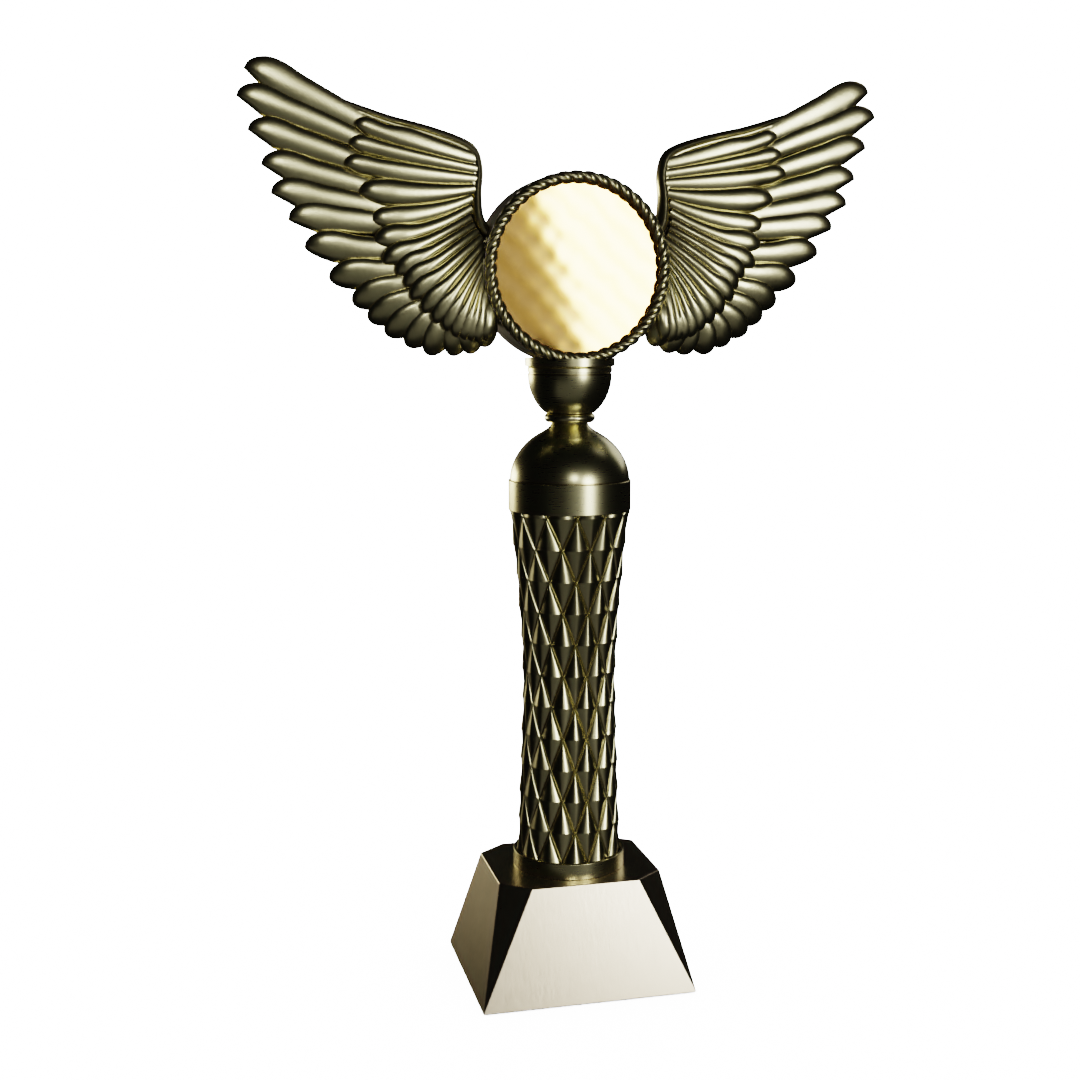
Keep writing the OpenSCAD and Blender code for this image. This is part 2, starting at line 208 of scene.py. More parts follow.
def noise(tree, scale, detail=4.0, stretch=None):
    """Noise over the object's own coordinates, stretched along an axis if asked."""
    place = tree.nodes.new("ShaderNodeTexCoord")
    turn = tree.nodes.new("ShaderNodeMapping")
    turn.inputs["Scale"].default_value = stretch or (1, 1, 1)
    out = tree.nodes.new("ShaderNodeTexNoise")
    out.inputs["Scale"].default_value = scale
    out.inputs["Detail"].default_value = detail
    tree.links.new(place.outputs["Object"], turn.inputs["Vector"])
    tree.links.new(turn.outputs["Vector"], out.inputs["Vector"])
    return out.outputs["Fac"]


def spread(tree, value, low, high):
    """Maps a 0 to 1 value onto low to high."""
    out = tree.nodes.new("ShaderNodeMapRange")
    out.inputs["To Min"].default_value = low
    out.inputs["To Max"].default_value = high
    tree.links.new(value, out.inputs["Value"])
    return out.outputs["Result"]


def blend_colours(tree, factor, first, second):
    """Goes from the first colour to the second as the factor goes from 0 to 1."""
    out = tree.nodes.new("ShaderNodeMix")
    out.data_type = "RGBA"
    out.inputs["A"].default_value = (*first, 1)
    out.inputs["B"].default_value = (*second, 1)
    tree.links.new(factor, out.inputs["Factor"])
    return out.outputs["Result"]


def add_bump(tree, shader, height, strength, distance):
    """Tilts the shading by a height; distance is in metres."""
    bump = tree.nodes.new("ShaderNodeBump")
    bump.inputs["Strength"].default_value = strength
    bump.inputs["Distance"].default_value = distance
    tree.links.new(height, bump.inputs["Height"])
    tree.links.new(bump.outputs["Normal"], shader.inputs["Normal"])


def plated_metal(
    name, colour, deep, rough, grain=900, stretch=None, bump=0.06, uneven=0.045
):
    """Satin plated metal: cloudy tone, painted shade that darkens the hollows, fine grain."""
    material, tree, shader = node_tree(name)
    shader.inputs["Metallic"].default_value = 1
    geometry = tree.nodes.new("ShaderNodeNewGeometry")
    # Pointiness is 0.5 on a flat face and less in a hollow
    # Painted shade: the colour turns toward deep in the hollows, where shade falls
    hollow = tree.nodes.new("ShaderNodeMapRange")
    hollow.inputs["From Min"].default_value = 0.47
    hollow.inputs["From Max"].default_value = 0.40
    tree.links.new(geometry.outputs["Pointiness"], hollow.inputs["Value"])
    cloudy = spread(tree, noise(tree, 60), 0.0, 0.16)
    # How far the colour goes toward deep: random cloudy tone plus the painted shade of the
    # hollows
    share = tree.nodes.new("ShaderNodeMath")
    share.operation = "ADD"
    share.use_clamp = True
    tree.links.new(cloudy, share.inputs[0])
    tree.links.new(hollow.outputs["Result"], share.inputs[1])
    tree.links.new(
        blend_colours(tree, share.outputs["Value"], colour, deep),
        shader.inputs["Base Color"],
    )
    tree.links.new(
        spread(tree, noise(tree, grain, 6, stretch), rough - uneven, rough + uneven),
        shader.inputs["Roughness"],
    )
    add_bump(tree, shader, noise(tree, grain, 6, stretch), bump, 0.0003)
    return material


def plain_metal(name, colour, rough, stretch=None):
    """Bare or painted metal of the hidden and fastening parts."""
    material, tree, shader = node_tree(name)
    shader.inputs["Metallic"].default_value = 1
    darker = tuple(c * 0.8 for c in colour)
    tree.links.new(
        blend_colours(tree, noise(tree, 300, 5, stretch), colour, darker),
        shader.inputs["Base Color"],
    )
    tree.links.new(
        spread(tree, noise(tree, 500, 5, stretch), rough - 0.06, rough + 0.08),
        shader.inputs["Roughness"],
    )
    add_bump(tree, shader, noise(tree, 700, 6, stretch), 0.1, 0.0003)
    return material


def hammered_metal(name, colour, deep, rough):
    """Polished metal with soft slanting rows of lighter and deeper tone."""
    material, tree, shader = node_tree(name)
    shader.inputs["Metallic"].default_value = 1
    place = tree.nodes.new("ShaderNodeTexCoord")
    rows = tree.nodes.new("ShaderNodeTexWave")
    rows.bands_direction = "DIAGONAL"
    rows.inputs["Scale"].default_value = 52
    rows.inputs["Distortion"].default_value = 2.2
    rows.inputs["Detail"].default_value = 1
    rows.inputs["Detail Scale"].default_value = 2.5
    tree.links.new(place.outputs["Object"], rows.inputs["Vector"])
    tree.links.new(
        blend_colours(tree, rows.outputs["Fac"], deep, colour),
        shader.inputs["Base Color"],
    )
    tree.links.new(
        spread(tree, noise(tree, 300), rough - 0.01, rough + 0.01),
        shader.inputs["Roughness"],
    )
    add_bump(tree, shader, noise(tree, 250), 0.004, 0.0003)
    return material


def soft_material(name, colour, rough, grain, depth):
    """Felt or foam: matte, mottled and fuzzy."""
    material, tree, shader = node_tree(name)
    shader.inputs["Sheen Weight"].default_value = 0.3
    shader.inputs["Roughness"].default_value = rough
    lighter = tuple(min(1, c * 1.6 + 0.01) for c in colour)
    tree.links.new(
        blend_colours(tree, noise(tree, grain, 8), colour, lighter),
        shader.inputs["Base Color"],
    )
    add_bump(tree, shader, noise(tree, grain * 1.5, 8), 0.6, depth)
    return material


GOLD = (0.76, 0.71, 0.44)
# Darker gold: the cloudy tone and the painted shade in the hollows turn toward it
DARK_TONE_AND_SHADE_GOLD = (0.36, 0.29, 0.13)

cast_gold = plated_metal("cast_gold", GOLD, DARK_TONE_AND_SHADE_GOLD, 0.30, bump=0.11)
column_gold = plated_metal("column_gold", GOLD, DARK_TONE_AND_SHADE_GOLD, 0.29, bump=0.03, uneven=0.03)
rope_gold = plated_metal("rope_gold", GOLD, DARK_TONE_AND_SHADE_GOLD, 0.29, bump=0.02, uneven=0.02)
turned_gold = plated_metal(
    "turned_gold",
    GOLD,
    DARK_TONE_AND_SHADE_GOLD,
    0.28,
    grain=500,
    stretch=(0.4, 0.4, 6),
    bump=0.025,
    uneven=0.02,
)
# The plinth's gold is lighter than GOLD: painted light that brightens its faces
plinth_gold = plated_metal(
    "plinth_gold", (1, 0.87, 0.65), DARK_TONE_AND_SHADE_GOLD, 0.30, grain=700, stretch=(1, 1, 0.2)
)
# Its second colour serves the cloudy tone and the painted shade in the hollows
drum_gold = plated_metal("drum_gold", (0.5, 0.47, 0.4), (0.2, 0.18, 0.12), 0.34)
disc_gold = hammered_metal("disc_gold", (0.96, 0.60, 0.22), (0.88, 0.53, 0.15), 0.065)
iron = plain_metal("black_iron", (0.10, 0.10, 0.11), 0.7)
steel = plain_metal("zinc_steel", (0.66, 0.67, 0.69), 0.34, (1, 1, 4))
felt = soft_material("black_felt", (0.012, 0.012, 0.013), 0.95, 1800, 0.0006)
foam = soft_material("foam_pad", (0.75, 0.75, 0.73), 0.85, 1200, 0.0003)


# ---------------------------------------------------------------- mesh helpers


def mesh_object(name, points, faces, material, sharp_angle=35):
    """Mesh from points in millimetres, with smooth faces and sharp creases."""
    mesh = bpy.data.meshes.new(name)
    mesh.from_pydata([Vector(p) * MM for p in points], [], faces)
    mesh.validate()
    mesh.materials.append(material)
    mesh.shade_smooth()
    mesh.set_sharp_from_angle(angle=math.radians(sharp_angle))
    obj = bpy.data.objects.new(name, mesh)
    bpy.context.scene.collection.objects.link(obj)
    return obj


def soften_edges(obj, width, segments=3):
    """Small rounded edges, so that they catch the light."""
    bevel = obj.modifiers.new("edges", "BEVEL")
    bevel.width = width * MM
    bevel.segments = segments
    bevel.limit_method = "ANGLE"
    bevel.angle_limit = math.radians(30)
    bevel.harden_normals = True
    return obj


def finish_piece(obj, slot, *nodes):
    """Puts a piece on the trophy's body in place of its CAD nodes."""
    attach(obj, "root")
    if nodes:
        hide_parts(*nodes)
    return obj


def tube_faces(rings, sides, closed=False):
    """Quads between rings of points, and the last ring to the first if closed."""
    faces = []
    for i in range(rings if closed else rings - 1):
        for j in range(sides):
            a = i * sides + j
            b = i * sides + (j + 1) % sides
            c = (i + 1) % rings * sides + (j + 1) % sides
            d = (i + 1) % rings * sides + j
            faces.append((a, b, c, d))
    return faces


def capped_tube(rings, sides):
    """Quads between rings of points, with a cap on the first and the last ring."""
    faces = tube_faces(rings, sides)
    faces.append(tuple(reversed(range(sides))))
    faces.append(tuple((rings - 1) * sides + j for j in range(sides)))
    return faces


def revolve(name, outline, material, sides=160):
    """Turns a closed outline of radius and height around the Z axis."""
    points = []
    for step in range(sides):
        a = 2 * math.pi * step / sides
        points += [(r * math.cos(a), r * math.sin(a), z) for r, z in outline]
    return mesh_object(name, points, tube_faces(sides, len(outline), True), material)


def curve_point(p, t):
    """Point at t on a cubic curve with four control points."""
    s = 1 - t
    weights = (s**3, 3 * t * s * s, 3 * t * t * s, t**3)
    return tuple(sum(w * q[k] for w, q in zip(weights, p)) for k in range(len(p[0])))


def curve(p, steps):
    """Points of a cubic curve, both ends included."""
    return [curve_point(p, i / steps) for i in range(steps + 1)]


def box_mm(node):
    """Lowest and highest corner of a CAD node's box, in millimetres."""
    low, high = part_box(node)
    return low / MM, high / MM


# ---------------------------------------------------------------- plinth


def plinth_outline(z, low, high, inset):
    """Eight points of the plinth at height z: corners widen to cuts at the top."""
    t = z / high.z
    wide, deep = high.x - low.x, high.y - low.y
    a = (wide + (TOP_W - wide) * t) / 2 - inset
    b = (deep + (TOP_D - deep) * t) / 2 - inset
    kx, ky = CORNER_X * t, CORNER_Y * t
    return [
        (a - kx, -b, z),
        (a, ky - b, z),
        (a, b - ky, z),
        (a - kx, b, z),
        (kx - a, b, z),
        (-a, b - ky, z),
        (-a, ky - b, z),
        (kx - a, -b, z),
    ]


def make_plinth():
    """Shell with a flat foot rim, four sloping sides, cut corners and a roof."""
    low, high = box_mm("base_shell")
    wall = PLINTH_WALL
    top = plinth_outline(high.z, low, high, 0)
    a, b = high.x + FOOT_SPREAD, high.y + FOOT_SPREAD
    corners = [(a, -b, low.z), (a, b, low.z), (-a, b, low.z), (-a, -b, low.z)]
    inner = [
        (math.copysign(abs(x) - wall, x), math.copysign(abs(y) - wall, y), z)
        for x, y, z in corners
    ]
    roof = plinth_outline(high.z - wall, low, high, wall)
    points = top + corners + inner + roof
    # First point of the foot's corners, of their inner copies and of the roof
    c, n, r = 8, 12, 16
    faces = [tuple(range(8))]
    for side in range(4):
        after = (side + 1) % 4
        i, j = 2 * side, 2 * side + 1
        k = (2 * side + 2) % 8
        faces.append((i, c + side, j))
        faces.append((j, c + side, c + after, k))
        faces.append((c + side, n + side, n + after, c + after))
        faces.append((r + j, n + side, r + i))
        faces.append((r + k, n + after, n + side, r + j))
    faces.append(tuple(reversed(range(r, r + 8))))
    plinth = mesh_object("plinth", points, faces, plinth_gold, 10)
    soften_edges(plinth, 0.3)
    finish_piece(plinth, "plinth_gold", "base_shell")


# ---------------------------------------------------------------- turned parts


def make_collar():
    """Shallow cup around the column's foot."""
    low, high = box_mm("base_collar")
    wall, floor = 1.2, 2.3
    outline = [
        (ROD_HOLE_R, low.z),
        (high.x, low.z),
        (high.x, high.z),
        (high.x - wall, high.z),
        (high.x - wall, low.z + floor),
        (ROD_HOLE_R, low.z + floor),
    ]
    collar = revolve("collar", outline, turned_gold)
    finish_piece(soften_edges(collar, 0.25), "turned_gold", "base_collar")


def make_cap_band():
    """Plain band on top of the column, with a spigot inside it."""
    low, high = box_mm("column_cap_band")
    band_bottom = box_mm("column_sleeve")[1].z
    spigot_r = WAIST_R - RELIEF - SLEEVE_WALL - SPIGOT_GAP
    outline = [
        (ROD_HOLE_R, low.z),
        (spigot_r, low.z),
        (spigot_r, band_bottom),
        (high.x, band_bottom),
        (high.x, high.z),
        (ROD_HOLE_R, high.z),
    ]
    band = revolve("cap_band", outline, turned_gold)
    finish_piece(soften_edges(band, 0.3), "turned_gold", "column_cap_band")


def make_dome():
    """Dome that narrows in one smooth line to the neck."""
    low, high = box_mm("dome_neck")
    dome = curve([(24.4, low.z), (24.2, 216.5), (20.2, 222.2), (15, 226.2)], 28)
    neck = curve([(15, 226.2), (11.4, 228.7), (8, 229.8), (7.3, high.z)], 16)[1:]
    outline = [(ROD_HOLE_R, low.z)] + dome + neck + [(ROD_HOLE_R, high.z)]
    finish_piece(revolve("dome", outline, turned_gold), "turned_gold", "dome_neck")


def make_bead():
    """Half-round ring between the neck and the bowl."""
    low, high = box_mm("neck_bead")
    mid = (low.z + high.z) / 2
    half = (high.z - low.z) / 2
    centre_r = high.x - half
    arc = [math.radians(a) for a in range(-90, 91, 9)]
    side = [(centre_r + half * math.cos(a), mid + half * math.sin(a)) for a in arc]
    outline = [(ROD_HOLE_R, low.z)] + side + [(ROD_HOLE_R, high.z)]
    finish_piece(revolve("bead", outline, turned_gold), "turned_gold", "neck_bead")


def make_bowl():
    """Solid cup shape under the bowl rim."""
    low, high = box_mm("bowl")
    side = curve([(9.9, low.z), (12.8, 238.4), (16.9, 243.5), (high.x, high.z)], 28)
    outline = [(ROD_HOLE_R, low.z)] + side + [(ROD_HOLE_R, high.z)]
    finish_piece(revolve("cup", outline, turned_gold), "turned_gold", "bowl")


# ---------------------------------------------------------------- column


def column_r(z):
    """Outer radius of the column at height z."""
    if z > WAIST_Z:
        t = (z - WAIST_Z) / (BAND_Z - WAIST_Z)
        return WAIST_R + FLARE_UP * t**FLARE_UP_POWER
    t = (WAIST_Z - z) / (WAIST_Z - FOOT_Z)
    return WAIST_R + FLARE_DOWN * t**FLARE_DOWN_POWER


def smooth_step(start, end, value):
    """Goes smoothly from 0 at start to 1 at end; end may be the smaller one."""
    t = min(1, max(0, (value - start) / (end - start)))
    return t * t * (3 - 2 * t)


def cell_place(angle, v):
    """Place in the groove lattice, -1 to 1 in each groove's direction; v counts rows."""
    u = (angle - CELL_TURN) / (180 / CELLS)
    return (u + v) % 2 - 1, (u - v) % 2 - 1


def relief_depth(angle, z, above):
    """How far the relief lies under the column's outer radius.

    Crossings of the grooves form a lattice. Each cell between them has a
    rounded petal above its middle line and two flatter facets below it. At the
    height of a ledge, above tells which of its two rings is meant.
    """
    tiny = 1e-6
    da, db = cell_place(angle, (z - ROW_ZERO_Z) / ROW_H + (tiny if above else -tiny))
    du = (da + db) / 2
    dv = (da - db) / 2
    reach = 1 - abs(dv)
    cell_w = math.radians(180 / CELLS) * column_r(z)
    edge = max(0, reach - abs(du)) * cell_w
    s = min(1, abs(du) / reach) if reach > tiny else 1
    if dv >= 0:
        height = reach**0.9 * (1 - s**PETAL_POWER)
    else:
        height = reach * (1 - s**FACET_POWER) * (1 - LEDGE / RELIEF)
    body = (RELIEF - BEVEL) * height + BEVEL * smooth_step(0, BEVEL_W, edge)
    return RELIEF - body


def column_levels(low_z, high_z, steps):
    """Heights of the relief's rings; two close ones at each ledge."""
    ledge_h = 0.1
    first = math.floor((low_z - ROW_ZERO_Z) / ROW_H)
    last = math.ceil((high_z - ROW_ZERO_Z) / ROW_H)
    levels = []
    for row in range(first, last):
        row_z = ROW_ZERO_Z + row * ROW_H
        levels += [(row_z, False), (row_z + ledge_h, True)]
        levels += [(row_z + ROW_H * k / steps, True) for k in range(1, steps)]
    levels = [(z, above) for z, above in levels if low_z < z < high_z]
    return [(low_z, True)] + levels + [(high_z, False)]


def split_along_grooves(faces, levels, around):
    """Cuts the relief's quads so that their diagonals follow the grooves."""
    out = []
    for a, b, c, d in faces:
        ring = a // around
        if ring >= len(levels) - 1:
            out.append((a, b, c, d))
            continue
        z = (levels[ring][0] + levels[ring + 1][0]) / 2
        angle = 360 * (a % around + 0.5) / around
        da, db = cell_place(angle, (z - ROW_ZERO_Z) / ROW_H)
        if da * da > db * db:
            out += [(a, b, d), (b, c, d)]
        else:
            out += [(a, b, c), (a, c, d)]
    return out


def deepen_shading(mesh):
    """Leans the normals further from the radius, as if the relief were deeper."""
    normals = []
    for loop, corner in zip(mesh.loops, mesh.corner_normals):
        place = mesh.vertices[loop.vertex_index].co
        radial = Vector((place.x, place.y, 0)).normalized()
        around = Vector((-radial.y, radial.x, 0))
        normal = Vector(corner.vector)
        lean = around * normal.dot(around) * SHADE_AROUND
        rise = Vector((0, 0, normal.z * SHADE_ALONG))
        normals.append((radial * normal.dot(radial) + lean + rise).normalized())
    mesh.normals_split_custom_set(normals)


def make_column():
    """Relief outside, plain bore inside; the first vertex row is at the foot."""
    low, high = box_mm("column_sleeve")
    steps = 18
    around = 2 * CELLS * steps
    levels = column_levels(low.z, high.z, steps)
    points = []
    for z, above in levels:
        for j in range(around):
            angle = 360 * j / around
            r = column_r(z) - relief_depth(angle, z, above)
            a = math.radians(angle - 90)
            points.append((r * math.cos(a), r * math.sin(a), z))
    for z in (high.z, low.z):
        r = WAIST_R - RELIEF - SLEEVE_WALL
        for j in range(around):
            a = math.radians(360 * j / around - 90)
            points.append((r * math.cos(a), r * math.sin(a), z))
    faces = tube_faces(len(levels) + 2, around, True)
    faces = split_along_grooves(faces, levels, around)
    sleeve = mesh_object("relief_column", points, faces, column_gold, 40)
    deepen_shading(sleeve.data)
    finish_piece(sleeve, "cast_gold", "column_sleeve")


# ---------------------------------------------------------------- medallion


def strand_radius(angle):
    """Radius of the rope's outline: three round strands, each with a fine groove."""
    step = 360 / STRANDS
    off = (angle + step / 2) % step - step / 2
    lobe = math.sin(math.pi / STRANDS)
    centre = ROPE_R / (1 + lobe)
    strand = centre * lobe
    side = centre * math.sin(math.radians(off))
    r = centre * math.cos(math.radians(off)) + math.sqrt(max(0, strand**2 - side**2))
    valley_r = 0.62 * ROPE_R
    groove_at, groove_wide = 4, 7
    groove = STRAND_GROOVE * math.exp(-(((off - groove_at) / groove_wide) ** 2))
    return max(r, valley_r) - groove


def make_rope():
    """Rope outline carried around the ring while it turns; its back is cut flat."""
    low, high = box_mm("rope_bezel")
    centre_z = (low.z + high.z) / 2
    back = box_mm("drum_shell")[0].y
    stations = ROPE_LOBES * 16
    sides = 72
    points = []
    for i in range(stations):
        around = 2 * math.pi * i / stations
        for j in range(sides):
            angle = 360 * j / sides
            r = strand_radius(angle)
            turned = math.radians(angle) + around * ROPE_LOBES / STRANDS
            ring = ROPE_RING_R + r * math.cos(turned)
            y = min(ROPE_Y + r * math.sin(turned), back)
            points.append((ring * math.cos(around), y, centre_z + ring * math.sin(around)))
    faces = []
    turn = sides // STRANDS * (ROPE_LOBES % STRANDS)
    for i in range(stations):
        after = (i + 1) % stations
        shift = turn if after == 0 else 0
        for j in range(sides):
            a = i * sides + j
            b = i * sides + (j + 1) % sides
            c = after * sides + (j + 1 + shift) % sides
            d = after * sides + (j + shift) % sides
            faces.append((a, d, c, b))
    rope = mesh_object("rope_ring", points, faces, rope_gold, 50)
    finish_piece(rope, "cast_gold", "rope_bezel")


def hammer_depth(x, z):
    """Depth of the shallow hammered pattern on the face, 0 to 1."""
    period = DENT_PERIOD
    along = (x - z) / math.sqrt(2)
    across = (x + z) / math.sqrt(2)
    wander = 0.9 * math.sin(2 * math.pi * across / (3.1 * period))
    first = math.sin(2 * math.pi * along / period + wander)
    second = math.sin(2 * math.pi * across / period)
    return (2 + first + second) / 4


def make_disc():
    """Round face with a shallow hammered pattern; the rope covers its rim."""
    low, high = box_mm("centre_disc")
    centre_z = (low.z + high.z) / 2
    rim_r = high.x
    rings = 64
    sides = 240
    face_y = low.y + FACE_STEP
    profile = [(rim_r, high.y)]
    profile += [(rim_r * (rings - k) / rings, face_y) for k in range(rings)]
    points = []
    for r, y in profile:
        for j in range(sides):
            a = 2 * math.pi * j / sides
            x, z = r * math.cos(a), r * math.sin(a)
            dent = DENT_DEPTH * hammer_depth(x, z) if y == face_y else 0
            points.append((x, y + dent, centre_z + z))
    faces = [tuple(reversed(f)) for f in tube_faces(len(profile), sides)]
    faces.append(tuple(range(sides)))
    last = (len(profile) - 1) * sides
    faces.append(tuple(last + j for j in reversed(range(sides))))
    disc = mesh_object("face_disc", points, faces, disc_gold, 30)
    finish_piece(disc, "disc_gold", "centre_disc")


# ---------------------------------------------------------------- wings


def feather_tip(left, reach, blunt):
    """Half widths above and below the centre line, and thickness, near a tip.

    left is the distance to the tip in half widths. The upper side swells and
    rounds off over the reach. The lower side runs straight to the point, or
    is as round as the upper side if blunt is 1.
    """
    rounding = math.sqrt(max(0, 1 - max(0, 1 - left / reach) ** 2))
    upper = rounding * (1 + 0.27 * math.exp(-(((left - 2) / 1.4) ** 2)))
    straight = min(1, 0.18 + 0.82 * left / (1.5 * reach))
    lower = straight * (1 - blunt) + rounding * blunt
    thick = math.sqrt(max(0.0004, 1 - max(0, 1 - left / 1.3) ** 2))
    return upper, lower, thick


def bowed(root, mid, tip):
    """Curve from root to tip that passes through mid half way."""
    control = tuple(2 * m - (r + e) / 2 for r, m, e in zip(root, mid, tip))

    def at(t):
        s = 1 - t
        return Vector(
            s * s * r + 2 * s * t * c + t * t * e for r, c, e in zip(root, control, tip)
        )

    return at


def feather_part(path, half_w, widths, front, back, lean, reach, blunt):
    """Closed feather around a centre line.

    widths gives the upper and lower half width at t. front and back are its
    thickness each way, lean turns its upper edge forward, and reach and blunt
    shape the tip.
    """
    stations, sides = 40, 20
    root_share = 0.5
    length = (path(1) - path(0)).length
    face = Vector((0, -1, 0))
    points = []
    for i in range(stations):
        # Stations lie closer together toward the tip
        t = 1 - (1 - i / (stations - 1)) ** 1.5
        along = path(min(1, t + 0.01)) - path(max(0, t - 0.01))
        up = Vector((-along.z, 0, along.x)).normalized()
        up = (up * math.cos(lean) + face * math.sin(lean)).normalized()
        left = (1 - t) * length / half_w
        tip_upper, tip_lower, thick = feather_tip(left, reach, blunt)
        upper, lower = widths(t)
        grow = root_share + (1 - root_share) * min(1, t / 0.7)
        for j in range(sides):
            a = 2 * math.pi * j / sides
            side = upper * tip_upper if math.cos(a) > 0 else lower * tip_lower
            rise = front if math.sin(a) > 0 else back
            across = up * math.cos(a) * side
            points.append(path(t) + across + face * math.sin(a) * rise * thick * grow)
    return points, capped_tube(stations, sides)


def flight_parts():
    """Long feathers: the lower ones are shorter, wider and blunter."""
    for i, (x, z, heading, bow) in enumerate(FLIGHT):
        a = math.radians(heading)
        # 0 for the upper feathers and 1 for the lowest ones
        low = smooth_step(4, 9, i)
        y = FLIGHT_Y - FLIGHT_Y_STEP * i + 2 * low
        # The lower feathers and the top one are a little wider
        half_w = FLIGHT_HALF_W + 0.5 * smooth_step(3, 8, i) + 0.7 * (i == 0)
        length = FLIGHT_LEN - FLIGHT_STEP * max(0, i + 1 - FLIGHT_FULL)
        root = (x - length * math.cos(a), y + 1, z - length * math.sin(a))
        mid = (
            (x + root[0]) / 2 - bow * math.sin(a),
            y - 3 * low,
            (z + root[2]) / 2 + bow * math.cos(a),
        )
        path = bowed(root, mid, (x, y, z))

        def widths(t):
            half = half_w * (0.55 + 0.45 * min(1, t / 0.6))
            return half, half

        front, back = 2.2 + 0.7 * low, 1.2
        lean = math.radians(5 + 14 * low)
        yield feather_part(path, half_w, widths, front, back, lean, 1.4, low)


def covert_y(z):
    """How far forward a short feather's tip lies: the lower fan bulges out."""
    return -3.6 - 5.6 * min(1, max(0, (308 - z) / 30))


def covert_path(x0, z0, x1, z1, bow):
    """Centre line of a short feather: it bulges forward between root and tip."""
    length = math.hypot(x1 - x0, z1 - z0)
    y = covert_y(z1)
    low = smooth_step(310, 285, z1)
    root = (x0, -3.2 - 6 * smooth_step(316, 297, z0), z0)
    mid = (
        (x0 + x1) / 2 - bow * (z1 - z0) / length,
        0.25 * root[1] + 0.75 * y - 0.6 - 2 * low,
        (z0 + z1) / 2 + bow * (x1 - x0) / length,
    )
    return bowed(root, mid, (x1, y, z1))


def covert_parts():
    """Short feathers: each fills the room up to its neighbours, then its own tip."""
    overlap = 1.12
    lines = [ABOVE_COVERTS] + COVERTS
    paths = [covert_path(x0, z0, x1, z1, bow) for x0, z0, x1, z1, _, bow in lines]
    for i in range(1, len(lines)):
        half_w = lines[i][4]
        path = paths[i]
        above = paths[i - 1]
        below = paths[min(len(paths) - 1, i + 1)]

        def widths(t):
            own = smooth_step(0.5, 0.85, t)
            room_up = (above(t) - path(t)).length / 2 * overlap
            room_down = (below(t) - path(t)).length / 2 * overlap or half_w
            return (
                half_w * own + room_up * (1 - own),
                half_w * own + room_down * (1 - own),
            )

        front, back = 0.62 * half_w, 1.8
        lean = math.radians(6)
        yield feather_part(path, half_w, widths, front, back, lean, 1.3, 0.3)


def round_path(knots, steps):
    """Smooth path through knots of any size (Catmull-Rom)."""
    out = []
    for i in range(len(knots) - 1):
        before = knots[max(0, i - 1)]
        start, end = knots[i], knots[i + 1]
        after = knots[min(len(knots) - 1, i + 2)]
        for k in range(steps):
            t = k / steps
            out.append(
                tuple(
                    0.5 * (2 * s + (e - b) * t + (2 * b - 5 * s + 4 * e - f) * t * t
                           + (3 * s - b - 3 * e + f) * t**3)
                    for b, s, e, f in zip(before, start, end, after)
                )
            )
    return out + [knots[-1]]


def arm_part(line, offset, wide, forward, front, back):
    """Rounded strip along the leading edge of the wing, on (x, z, radius) points.

    The others are shares of that radius: offset toward the feathers, half width,
    forward shift of the middle, and thickness to the front and to the back.
    """
    path = round_path(line, 6)
    sides = 20
    face = Vector((0, -1, 0))
    points = []
    for i, (x, z, r) in enumerate(path):
        px, pz, _ = path[max(0, i - 1)]
        nx, nz, _ = path[min(len(path) - 1, i + 1)]
        along = Vector((nx - px, 0, nz - pz)).normalized()
        up = Vector((-along.z, 0, along.x))
        middle = Vector((x, ARM_Y, z)) - up * offset * r + face * forward * r
        for j in range(sides):
            a = 2 * math.pi * j / sides
            rise = front if math.sin(a) > 0 else back
            points.append(middle + up * math.cos(a) * wide * r + face * math.sin(a) * rise * r)
    return points, capped_tube(len(path), sides)


def plate_part(outline, front, back):
    """Plate over an outline of x and z, with sloping edges."""
    middle = Vector((sum(p[0] for p in outline), sum(p[1] for p in outline))) / len(outline)
    points = []
    for share, y in ((0.97, front), (1, front + 0.6), (1, back - 0.6), (0.97, back)):
        for x, z in outline:
            points.append(
                (middle.x + (x - middle.x) * share, y, middle.y + (z - middle.y) * share)
            )
    return points, capped_tube(4, len(outline))


def cylinder_part(radius, y0, y1, centre_z, sides=256):
    """Cylinder along Y, for cutting a wing to the drum and the rope."""
    points = []
    for y in (y0, y1):
        for j in range(sides):
            a = 2 * math.pi * j / sides
            points.append((radius * math.cos(a), y, centre_z + radius * math.sin(a)))
    return points, capped_tube(2, sides)


def outward(obj):
    """Makes a closed mesh's faces point outward."""
    shape = bmesh.new()
    shape.from_mesh(obj.data)
    bmesh.ops.recalc_face_normals(shape, faces=shape.faces)
    shape.to_mesh(obj.data)
    shape.free()
    return obj


def weld(obj):
    """Merges points that nearly touch, drops the empty faces and closes small gaps."""
    near = 0.002 * MM
    shape = bmesh.new()
    shape.from_mesh(obj.data)
    bmesh.ops.remove_doubles(shape, verts=shape.verts, dist=near)
    bmesh.ops.dissolve_degenerate(shape, edges=shape.edges, dist=near)
    gaps = [edge for edge in shape.edges if edge.is_boundary]
    most_edges = 8
    bmesh.ops.holes_fill(shape, edges=gaps, sides=most_edges)
    shape.to_mesh(obj.data)
    shape.free()
    obj.data.validate()


def part_object(name, part, flip):
    """Object of a wing's part; flip is 1 for the right wing and -1 for the left."""
    points, faces = part
    points = [(flip * p[0], p[1], p[2]) for p in points]
    return outward(mesh_object(name, points, faces, cast_gold))


def apply_boolean(obj, operation, others):
    """Joins or cuts with other objects, keeps the result and removes them."""
    group = bpy.data.collections.new("operands")
    for other in others:
        group.objects.link(other)
    cut = obj.modifiers.new("cut", "BOOLEAN")
    cut.operation = operation
    cut.operand_type = "COLLECTION"
    cut.collection = group
    cut.solver = "MANIFOLD"
    bpy.context.view_layer.update()
    shape = obj.evaluated_get(bpy.context.evaluated_depsgraph_get())
    mesh = bpy.data.meshes.new_from_object(shape)
    obj.modifiers.clear()
    obj.data = mesh
    for other in others:
        bpy.data.objects.remove(other)
    bpy.data.collections.remove(group)
    return obj


